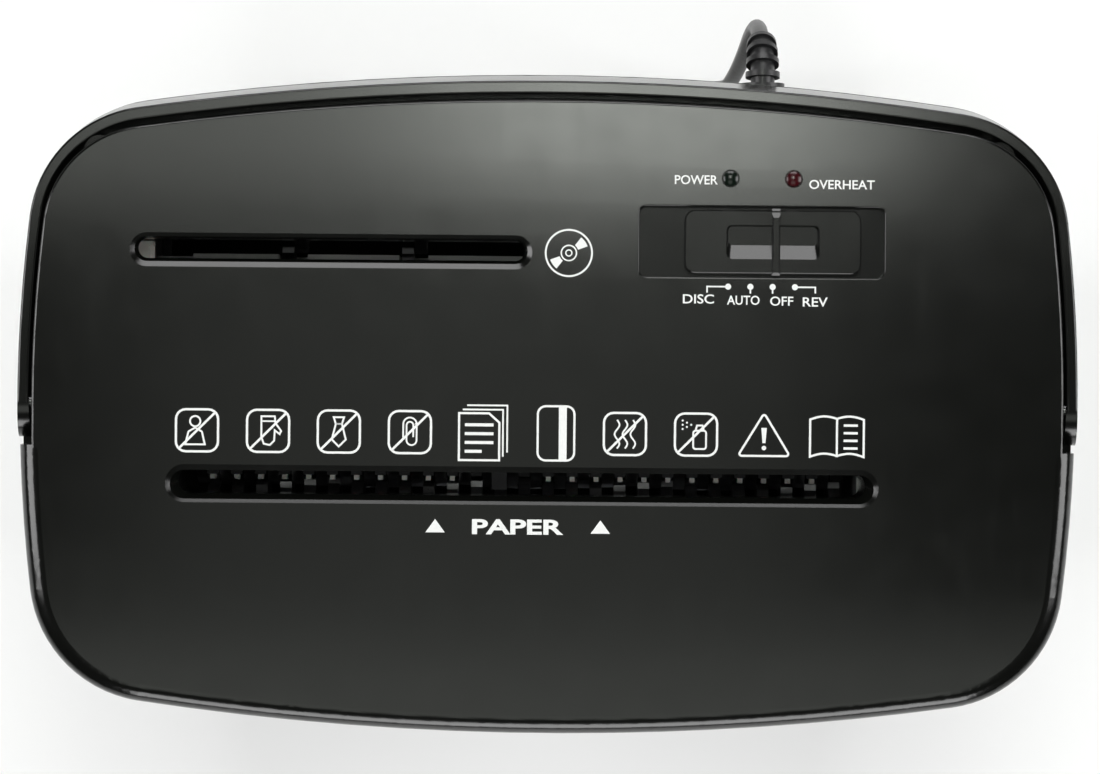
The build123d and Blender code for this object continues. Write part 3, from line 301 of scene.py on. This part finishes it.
white_ink = ink("white_ink", (0.80, 0.81, 0.80))
strap = webbing()

for part in frame["record"]["subparts"]:
    skin = nodes[part["node"]].data.materials
    skin.clear()
    skin.append(finishes.get(part["node"], finishes[part["material_slot"]]))


# ---- mesh helpers -------------------------------------------------------------------------

def mesh_object(name, points, faces, material, smooth=True):
    """Mesh from points in millimetres."""
    data = bpy.data.meshes.new(name)
    data.from_pydata([tuple(c * MM for c in p) for p in points], [], faces)
    data.materials.append(material)
    for polygon in data.polygons:
        polygon.use_smooth = smooth
    made = bpy.data.objects.new(name, data)
    bpy.context.scene.collection.objects.link(made)
    return made


def skin_rings(rings):
    """Points and faces of a closed skin over rings of equal length, with both ends capped."""
    count = len(rings[0])
    points = [p for ring in rings for p in ring]
    faces = []
    for i in range(len(rings) - 1):
        for j in range(count):
            k = (j + 1) % count
            faces.append((i * count + j, i * count + k, (i + 1) * count + k, (i + 1) * count + j))
    faces.append(tuple(reversed(range(count))))
    faces.append(tuple(range((len(rings) - 1) * count, len(rings) * count)))
    return points, faces


# ---- mains cord ---------------------------------------------------------------------------

CORD_RADIUS = 3.0
HANK = Vector((-25.0, 112.0))
HANK_HALF_RUN = 55.0
HANK_BEND = 20.0
HANK_LAYERS = 3
LAYER_LOW = 3.1
LAYER_STEP = 6.1
BEND_POINTS = 7
BEND_PAST = 16.0
# half of the hank seen from above: along it from the tie, and out from its middle line
HANK_RUN = ((44, 17.6), (31, 13.8), (17, 9.4), (0, 3.5), (-17, 9.4), (-31, 13.8), (-44, 17.6))

drop = [
    (73, 124.853, 328.762), (73, 133.305, 310.636), (72.6, 133.9, 272), (73.5, 132.7, 203),
    (73.9, 131.3, 130), (73.4, 130.6, 72), (72.8, 131.3, 44), (69.0, 132.3, 23),
    (54.5, 133.5, 8), (36.0, 133.5, 3.1), (20.0, 130.4, 3.1),
]
lead = [(17, 95.2, 15.4), (42, 91.0, 15.8), (60, 91.8, 10.8), (73, 93.8, 8.4), (86, 97.0, 8.3)]


def hank_run(layer, heading):
    """One run through the tie; heading is -1 at the rear and +1 at the front."""
    return [(HANK.x - heading * along, HANK.y - heading * out, LAYER_LOW + LAYER_STEP * layer)
            for along, out in HANK_RUN]


def hank_bend(end, layer, rise):
    """Loop round the end at -1 (left) or +1 (right), climbing rise layers early on."""
    sweep = 180 + 2 * BEND_PAST
    reach = HANK_BEND / cos(radians(sweep / BEND_POINTS / 2))
    points = []
    for i in range(BEND_POINTS):
        share = (i + 0.5) / BEND_POINTS
        angle = radians(sweep * share - 90 * end - BEND_PAST)
        climbed = rise * min(1.0, 1.35 * share)
        points.append((HANK.x + end * HANK_HALF_RUN + reach * cos(angle),
                       HANK.y + reach * sin(angle),
                       LAYER_LOW + LAYER_STEP * (layer + climbed)))
    return points


def hank_turns():
    """Turns of the hank, one above the other, without the points that drop and lead give."""
    points = []
    for layer in range(HANK_LAYERS):
        points += hank_run(layer, -1) + hank_bend(-1, layer, 0) + hank_run(layer, 1)
        if layer < HANK_LAYERS - 1:
            points += hank_bend(1, layer, 1)
    return points[1:-1]


def spline_tube(name, points, radius, material):
    data = bpy.data.curves.new(name, "CURVE")
    data.dimensions = "3D"
    data.bevel_depth = radius * MM
    data.bevel_resolution = 5
    data.resolution_u = 6
    data.use_fill_caps = True
    data.materials.append(material)
    spline = data.splines.new("NURBS")
    spline.points.add(len(points) - 1)
    for control, point in zip(spline.points, points):
        control.co = (*(c * MM for c in point), 1)
    spline.order_u = 3
    spline.use_endpoint_u = True
    made = bpy.data.objects.new(name, data)
    bpy.context.scene.collection.objects.link(made)
    return made


cord = spline_tube("mains_cord", drop + hank_turns() + lead, CORD_RADIUS, finishes["cord_pvc"])
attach(cord, "head")
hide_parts("power_cord", "plug_lead", "cord_hank")


# ---- hank tie -----------------------------------------------------------------------------

STRAP_EDGE = 3.9
STRAP_THICKNESS = 1.2
STRAP_LOW = 0.15
STRAP_TOP = 18.6
STRAP_HALF_LOOP = 9.0
STRAP_CORNER = 4.0


def strap_loop():
    """Outline of the strap seen along the hank: y, z and the outward direction at each point."""
    side, top, low = (STRAP_HALF_LOOP - STRAP_CORNER, STRAP_TOP - STRAP_CORNER,
                      STRAP_LOW + STRAP_CORNER)
    loop = []
    for y, z, start in ((side, top, 0), (-side, top, 90), (-side, low, 180), (side, low, 270)):
        for i in range(7):
            a = radians(start + 15 * i)
            loop.append((y + STRAP_CORNER * cos(a), z + STRAP_CORNER * sin(a), cos(a), sin(a)))
    return loop


def make_tie():
    """Webbing strap round the hank's waist, with its free end lapped over the top."""
    edge, inner = STRAP_EDGE, -STRAP_THICKNESS
    profile = ((-edge, inner), (edge, inner), (edge + 0.3, inner + 0.3), (edge + 0.3, -0.3),
               (edge, 0), (-edge, 0), (-edge - 0.3, -0.3), (-edge - 0.3, inner + 0.3))
    rings = [[(HANK.x + x, HANK.y + y + out * ny, z + out * nz) for x, out in profile]
             for y, z, ny, nz in strap_loop()]
    # the loop closes on itself: the repeated last ring and the two caps are dropped
    points, faces = skin_rings(rings + [rings[0]])
    points = points[:-len(profile)]
    total = len(points)
    faces = [tuple(v % total for v in face) for face in faces[:-2]]
    # y along the lapped end, and its rise over the strap's top
    lap = ((4.5, 0.2), (2.0, 0.9), (-2.0, 1.0), (-5.5, 1.0), (-6.5, 0.9))
    lap_profile = ((-edge, -0.5), (edge, -0.5), (edge + 0.2, 0), (edge, 0.35), (-edge, 0.35),
                   (-edge - 0.2, 0))
    rings = [[(HANK.x + x * 0.97, HANK.y + y, STRAP_TOP + rise + out) for x, out in lap_profile]
             for y, rise in lap]
    more, extra = skin_rings(rings)
    faces += [tuple(v + total for v in face) for face in extra]
    return mesh_object("hank_tie", points + more, faces, strap)


tie = make_tie()
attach(tie, "head")
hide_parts("cord_tie")


# ---- moulded plug -------------------------------------------------------------------------

PLUG_START = Vector(lead[-1])
PLUG_ALONG = (PLUG_START - Vector(lead[-2])).normalized()
PLUG_SIDE = Vector((-PLUG_ALONG.y, PLUG_ALONG.x, 0)).normalized()
PLUG_UP = PLUG_ALONG.cross(PLUG_SIDE)


def plug_ring(along, half_width, half_height, power, count=48):
    """Superellipse section of the plug: power 2 is round, higher is squarer."""
    ring = []
    for i in range(count):
        a = 2 * pi * i / count
        x = half_width * abs(cos(a)) ** (2 / power) * (1 if cos(a) > 0 else -1)
        y = half_height * abs(sin(a)) ** (2 / power) * (1 if sin(a) > 0 else -1)
        ring.append(PLUG_START + PLUG_ALONG * along + PLUG_SIDE * x + PLUG_UP * y)
    return ring


def make_plug():
    """Moulded-on plug: ribbed sleeve, shoulders, finger grips and a rounded front face."""
    sections = [(-5.0, 3.2, 3.2, 2.0), (-4.6, 3.7, 3.7, 2.0)]
    for rib in range(5):
        start, size = -3.6 + 3.6 * rib, 4.05 + 0.32 * rib
        sections += [(start, size, size, 2.0), (start + 1.9, size + 0.1, size + 0.1, 2.0),
                     (start + 2.1, size - 0.75, size - 0.75, 2.0),
                     (start + 3.3, size - 0.7, size - 0.7, 2.0)]
    sections += [(14.6, 5.6, 5.6, 2.0), (17.0, 7.6, 6.4, 2.2), (20.0, 10.4, 7.2, 2.6),
                 (23.5, 12.7, 7.75, 3.0), (26.5, 13.4, 7.95, 3.4)]
    for grip in range(4):
        start = 28.0 + 2.6 * grip
        sections += [(start, 13.5, 8.0, 3.6), (start + 0.4, 12.95, 7.6, 3.6),
                     (start + 1.3, 12.95, 7.6, 3.6), (start + 1.7, 13.5, 8.0, 3.6)]
    sections += [(40.6, 13.5, 8.0, 3.8), (41.5, 13.2, 7.7, 3.8), (42.0, 12.5, 7.0, 3.8)]
    points, faces = skin_rings([plug_ring(*section) for section in sections])
    return mesh_object("moulded_plug", points, faces, finishes["plug_plastic"])


plug = make_plug()
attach(plug, "head")
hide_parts("mains_plug")


# ---- prints on the top cover --------------------------------------------------------------

CROWN_Z = 402.0
CROWN_RADIUS = 1600.0
CROWN_Y = 16.0
INK_PROUD = 0.05
INK_THICKNESS = 0.09
LINE = 0.7


def crown_z(y):
    return CROWN_Z - CROWN_RADIUS + sqrt(CROWN_RADIUS ** 2 - (y - CROWN_Y) ** 2)


class Print:
    """Flat artwork gathered in the cover's plan, then laid on its arched top as thin ink."""

    def __init__(self, name):
        self.name = name
        self.points = []
        self.faces = []

    def fill(self, outline):
        start = len(self.points)
        self.points += outline
        self.faces.append(tuple(range(start, start + len(outline))))

    def stroke(self, line, closed=False, width=LINE):
        """Ribbon of even width with mitred corners along a line."""
        count = len(line)
        left, right = [], []
        for i, (x, y) in enumerate(line):
            before = line[i - 1] if closed or i > 0 else None
            after = line[(i + 1) % count] if closed or i < count - 1 else None
            ways = []
            if before is not None:
                ways.append(Vector((x - before[0], y - before[1])).normalized())
            if after is not None:
                ways.append(Vector((after[0] - x, after[1] - y)).normalized())
            way = sum(ways, Vector((0, 0))).normalized()
            across = Vector((-way.y, way.x))
            reach = width / 2 / max(0.35, abs(across.dot(Vector((-ways[0].y, ways[0].x)))))
            left.append((x + across.x * reach, y + across.y * reach))
            right.append((x - across.x * reach, y - across.y * reach))
        start = len(self.points)
        self.points += left + right
        for i in range(count if closed else count - 1):
            j = (i + 1) % count
            self.faces.append((start + i, start + count + i, start + count + j, start + j))

    def word(self, text, x, y, width, height, bold=0.0):
        """Word in the built-in typeface, width by height millimetres, with its middle at x, y."""
        curve = bpy.data.curves.new(text, "FONT")
        curve.body = text
        curve.offset = bold
        curve.resolution_u = 4
        letters = bpy.data.objects.new(text, curve)
        bpy.context.scene.collection.objects.link(letters)
        bpy.context.view_layer.update()
        flat = letters.evaluated_get(bpy.context.evaluated_depsgraph_get())
        mesh = bpy.data.meshes.new_from_object(flat)
        xs = [v.co.x for v in mesh.vertices]
        ys = [v.co.y for v in mesh.vertices]
        left, low = min(xs), min(ys)
        across, up = width / (max(xs) - left), height / (max(ys) - low)
        start = len(self.points)
        self.points += [(x + (px - left) * across - width / 2, y + (py - low) * up - height / 2)
                        for px, py in zip(xs, ys)]
        self.faces += [tuple(start + v for v in f.vertices) for f in mesh.polygons]
        bpy.data.objects.remove(letters)
        bpy.data.meshes.remove(mesh)
        bpy.data.curves.remove(curve)

    def lay(self):
        """The finished ink layer, riding on the head."""
        points = [(x, y, crown_z(y) + INK_PROUD) for x, y in self.points]
        made = mesh_object(self.name, points, self.faces, white_ink, smooth=False)
        layer = made.modifiers.new("thickness", "SOLIDIFY")
        layer.thickness = INK_THICKNESS * MM
        layer.offset = -1
        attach(made, "head")
        return made


def arc(x, y, radius, start, end, count=12):
    """Points along an arc about x, y; angles in degrees."""
    return [(x + radius * cos(radians(start + (end - start) * i / count)),
             y + radius * sin(radians(start + (end - start) * i / count)))
            for i in range(count + 1)]


def circle(x, y, radius, count=40):
    return arc(x, y, radius, 0, 360, count)[:-1]


def rounded(x, y, width, height, radius):
    """Outline of a rectangle with round corners, centred at x, y."""
    line = []
    for sx, sy, start in ((1, 1, 0), (-1, 1, 90), (-1, -1, 180), (1, -1, 270)):
        line += arc(x + sx * (width / 2 - radius), y + sy * (height / 2 - radius), radius,
                    start, start + 90, 5)
    return line


def shifted(line, x, y):
    return [(x + px, y + py) for px, py in line]


def crossed_square(art, x, y):
    """Rounded square with a bar from corner to corner."""
    side, reach = 13.8, 5.9
    art.stroke(rounded(x, y, side, side, 3.2), closed=True, width=0.75)
    art.stroke([(x - reach, y - reach), (x + reach, y + reach)], width=0.75)


def child_sign(art, x, y):
    """Round head over a small bell-shaped body."""
    art.stroke(circle(x - 0.6, y + 3.0, 1.7, 20), closed=True, width=0.6)
    body = [(-0.6, 0.9), (1.6, -0.4), (2.6, -4.6), (-3.8, -4.6), (-2.8, -0.4)]
    art.stroke(shifted(body, x, y), closed=True, width=0.6)


def mitten_sign(art, x, y):
    hand = [(-2.2, 4.8), (-2.2, -2.0), (-1.4, -4.2), (0.6, -4.6), (2.0, -3.2), (2.2, 0.2),
            (3.8, -1.0), (4.3, 0.0), (2.4, 2.6), (2.2, 4.8)]
    art.stroke(shifted(hand, x, y), closed=True, width=0.6)
    art.stroke(shifted([(-2.2, 3.2), (2.2, 3.2)], x, y), width=0.5)


def neckwear_sign(art, x, y):
    knot = [(-1.7, 4.7), (1.7, 4.7), (1.0, 2.5), (-1.0, 2.5)]
    blade = [(-1.0, 2.5), (1.0, 2.5), (2.3, -2.6), (0, -4.9), (-2.3, -2.6)]
    art.stroke(shifted(knot, x, y), closed=True, width=0.6)
    art.stroke(shifted(blade, x, y), closed=True, width=0.6)


def clip_sign(art, x, y):
    wire = [(1.1, -1.6), (1.1, 2.2)] + arc(0, 2.3, 1.1, 0, 180, 8) + [(-1.1, -2.2)]
    wire += arc(0.55, -2.6, 1.65, 180, 360, 10) + [(2.2, 2.6)] + arc(0, 2.6, 2.2, 0, 180, 12)
    wire += [(-2.2, -1.8)]
    art.stroke(shifted(wire, x, y), width=0.55)


def ringlets_sign(art, x, y):
    """Three long wavy strands."""
    for offset in (-2.6, 0.0, 2.6):
        wave = [(offset + 0.8 * sin(i * pi / 6), 4.6 - 0.52 * i) for i in range(19)]
        art.stroke(shifted(wave, x, y), width=0.55)


def spray_sign(art, x, y):
    """Upright can with a nozzle and a few droplets."""
    art.stroke(rounded(x + 1.2, y - 1.7, 4.2, 6.0, 0.8), closed=True, width=0.6)
    art.stroke(shifted([(-0.1, 1.6), (0.3, 3.0), (2.1, 3.0), (2.5, 1.6)], x, y), width=0.6)
    for dx, dy in ((-1.6, 3.2), (-3.0, 3.9), (-3.0, 2.5), (-4.4, 4.6), (-4.4, 3.2), (-4.4, 1.8)):
        art.fill(circle(x + dx, y + dy, 0.34, 10))


def sheets_sign(art, x, y):
    """Three stacked sheets, the front one with a folded corner and lines of writing."""
    left, right, low, high = -8.2, 5.0, -9.0, 6.4
    front = [(left, low), (left, high), (1.6, high), (right, 3.4), (right, low)]
    art.stroke(shifted(front, x, y), closed=True)
    for step in (1.2, 2.6):
        edge = [(left + step, high + step), (right + step, high + step), (right + step, low + step)]
        art.stroke(shifted(edge, x, y), width=0.55)
    for row, width in enumerate((9.4, 9.4, 9.4, 5.6)):
        line = [(-6.3, 2.6 - 2.9 * row), (-6.3 + width, 2.6 - 2.9 * row)]
        art.stroke(shifted(line, x, y), width=1.0)


def card_sign(art, x, y):
    art.stroke(rounded(x, y, 12.0, 17.8, 2.6), closed=True)
    art.fill(shifted([(0.9, -8.7), (3.5, -8.7), (3.5, 8.7), (0.9, 8.7)], x, y))


def notice_sign(art, x, y):
    """Triangle with a tapered bar and a dot."""
    corners = arc(0, 5.9, 0.7, 150, 30, 4) + arc(7.3, -6.1, 0.7, 30, -90, 4)
    corners += arc(-7.3, -6.1, 0.7, -90, -210, 4)
    art.stroke(shifted(corners, x, y), closed=True)
    art.fill(shifted([(-0.9, 2.4), (-0.5, -2.6), (0.5, -2.6), (0.9, 2.4)], x, y))
    art.fill(circle(x, y - 4.2, 0.75, 14))


def booklet_sign(art, x, y):
    """Open booklet with curling pages and lines of writing on one of them."""
    for side in (-1, 1):
        top = [(side * 8.8 * i / 8, 5.6 + 0.9 * sin(pi * (1 - i / 8)) - 0.3 * i / 8)
               for i in range(9)]
        low = [(px, py - 12.2) for px, py in reversed(top)]
        art.stroke(shifted(top + low, x, y), closed=True)
    for row in range(4):
        art.stroke(shifted([(2.2, 3.4 - 2.5 * row), (6.8, 3.4 - 2.5 * row)], x, y), width=0.8)


PICTOGRAM_Y = -9.8
WORD_HEIGHT = 3.05
DOT_Y = 38.8


def pictogram_row():
    """Ten signs behind the paper slot: x, the sign, and whether a crossed square holds it."""
    art = Print("pictogram_row")
    signs = ((-114.8, child_sign, True), (-91.5, mitten_sign, True), (-68.3, neckwear_sign, True),
             (-45.0, clip_sign, True), (-20.7, sheets_sign, False), (2.9, card_sign, False),
             (25.5, ringlets_sign, True), (48.8, spray_sign, True), (71.1, notice_sign, False),
             (95.0, booklet_sign, False))
    for x, sign, crossed in signs:
        if crossed:
            crossed_square(art, x, PICTOGRAM_Y)
        sign(art, x, PICTOGRAM_Y)
    return art.lay()


def disc_pictogram():
    """Plain disc: two rings, a hub and a pair of light streaks."""
    art = Print("disc_pictogram")
    x, y = 6.6, 49.4
    art.stroke(circle(x, y, 7.6, 56), closed=True, width=0.6)
    art.stroke(circle(x, y, 2.5, 32), closed=True, width=0.45)
    art.stroke(circle(x, y, 1.0, 20), closed=True, width=0.4)
    for start in (20, 200):
        art.fill(arc(x, y, 6.5, start, start + 32, 8) + arc(x, y, 3.2, start + 32, start, 8))
    return art.lay()


def control_words():
    """Words beside the lamps and before the switch, with a dot and leader for each position."""
    art = Print("control_words")
    for text, x, y, width in (("POWER", 48.2, 73.8, 14.1), ("OVERHEAT", 96.0, 72.6, 21.5),
                              ("DISC", 49.2, 34.7, 10.2), ("AUTO", 63.9, 34.4, 10.7),
                              ("OFF", 76.5, 34.2, 7.6), ("REV", 87.5, 34.0, 8.2)):
        art.word(text, x, y, width, WORD_HEIGHT, 0.012)
    for x, turn in ((58.9, -6.9), (66.2, 0.0), (73.5, 0.0), (80.8, 6.7)):
        art.fill(circle(x, DOT_Y, 1.0, 24))
        leader = [(x, DOT_Y), (x, DOT_Y - 2.2)]
        if turn:
            leader = [(x, DOT_Y), (x + turn, DOT_Y), (x + turn, DOT_Y - 2.0)]
        art.stroke(leader, width=0.5)
    return art.lay()


def paper_mark():
    """Word beside the paper slot, between two arrowheads that point into it."""
    art = Print("paper_mark")
    art.word("PAPER", -9.4, -40.6, 30.0, 5.0, 0.03)
    for x in (-36.5, 17.7):
        art.fill([(x - 3.2, -42.6), (x + 3.2, -42.6), (x, -38.2)])
    return art.lay()


for artwork in (pictogram_row, disc_pictogram, control_words, paper_mark):
    artwork()


# ---- camera, floor and light: metres ------------------------------------------------------

CAMERA_PLACE = (0.0008, 0.0054, 1.702)
CAMERA_ROLL = 0.5
CAMERA_LENS = 129.8
SENSOR_WIDTH = 36.0

camera_data = bpy.data.cameras.new("camera")
camera_data.sensor_width = SENSOR_WIDTH
camera_data.lens = CAMERA_LENS
camera_data.clip_end = 50.0
camera = bpy.data.objects.new("camera", camera_data)
camera.location = CAMERA_PLACE
camera.rotation_euler = (0, 0, radians(CAMERA_ROLL))
bpy.context.scene.collection.objects.link(camera)
bpy.context.scene.camera = camera


def pale_floor(reach):
    """Square floor in millimetres, nearly white, with slow drift in tone and gloss."""
    g = Graph("pale_floor")
    tone = g.mix(g.noise(900, 2), (0.86, 0.86, 0.86), (0.90, 0.90, 0.90))
    skin = g.finish(tone, g.span(g.noise(40, 3), 0.55, 0.7))
    corners = [(-reach, -reach, 0), (reach, -reach, 0), (reach, reach, 0), (-reach, reach, 0)]
    return mesh_object("floor", corners, [(0, 1, 2, 3)], skin, smooth=False)


pale_floor(4000.0)


def softbox(name, place, target, width, depth, radiance, hue=(1.0, 1.0, 1.0)):
    """Rectangular light that faces its target."""
    light = bpy.data.lights.new(name, "AREA")
    light.shape = "RECTANGLE"
    light.size = width
    light.size_y = depth
    light.energy = radiance * pi * width * depth
    light.color = hue
    made = bpy.data.objects.new(name, light)
    made.location = place
    made.rotation_euler = (Vector(target) - Vector(place)).to_track_quat("-Z", "Y").to_euler()
    bpy.context.scene.collection.objects.link(made)


OVERHEAD_HEIGHT = 2.2
GREENISH = (0.96, 1.0, 0.93)


def overhead(name, x, y, width, depth, radiance):
    """Greenish softbox that faces straight down."""
    softbox(name, (x, y, OVERHEAD_HEIGHT), (x, y, 0.0), width, depth, radiance, GREENISH)


overhead("rear_overhead", 0.075, 0.61, 0.34, 0.64, 9.5)
overhead("rear_left_overhead", -0.30, 0.59, 0.36, 0.66, 2.3)
overhead("middle_overhead", -0.06, -0.12, 0.54, 0.52, 0.45)
overhead("front_overhead", -0.02, -0.86, 1.1, 0.9, 1.15)

# four boxes round the object light its sides and the floor
BODY = (0.0, 0.0, 0.2)
softbox("left_side", (-1.9, 0.1, 1.5), BODY, 1.2, 1.4, 6.2)
softbox("right_side", (1.9, 0.1, 1.5), BODY, 1.2, 1.4, 5.8)
softbox("front_side", (0.1, -2.1, 0.9), BODY, 1.6, 1.0, 5.6)
softbox("rear_side", (0.1, 2.0, 1.5), BODY, 1.6, 1.1, 5.4)

world = bpy.data.worlds.new("studio")
world.use_nodes = True
backdrop = world.node_tree.nodes["Background"]
backdrop.inputs["Color"].default_value = (1.0, 1.0, 1.0, 1.0)
backdrop.inputs["Strength"].default_value = 0.03
bpy.context.scene.world = world
bpy.context.scene.view_settings.view_transform = "Standard"

bpy.context.view_layer.update()
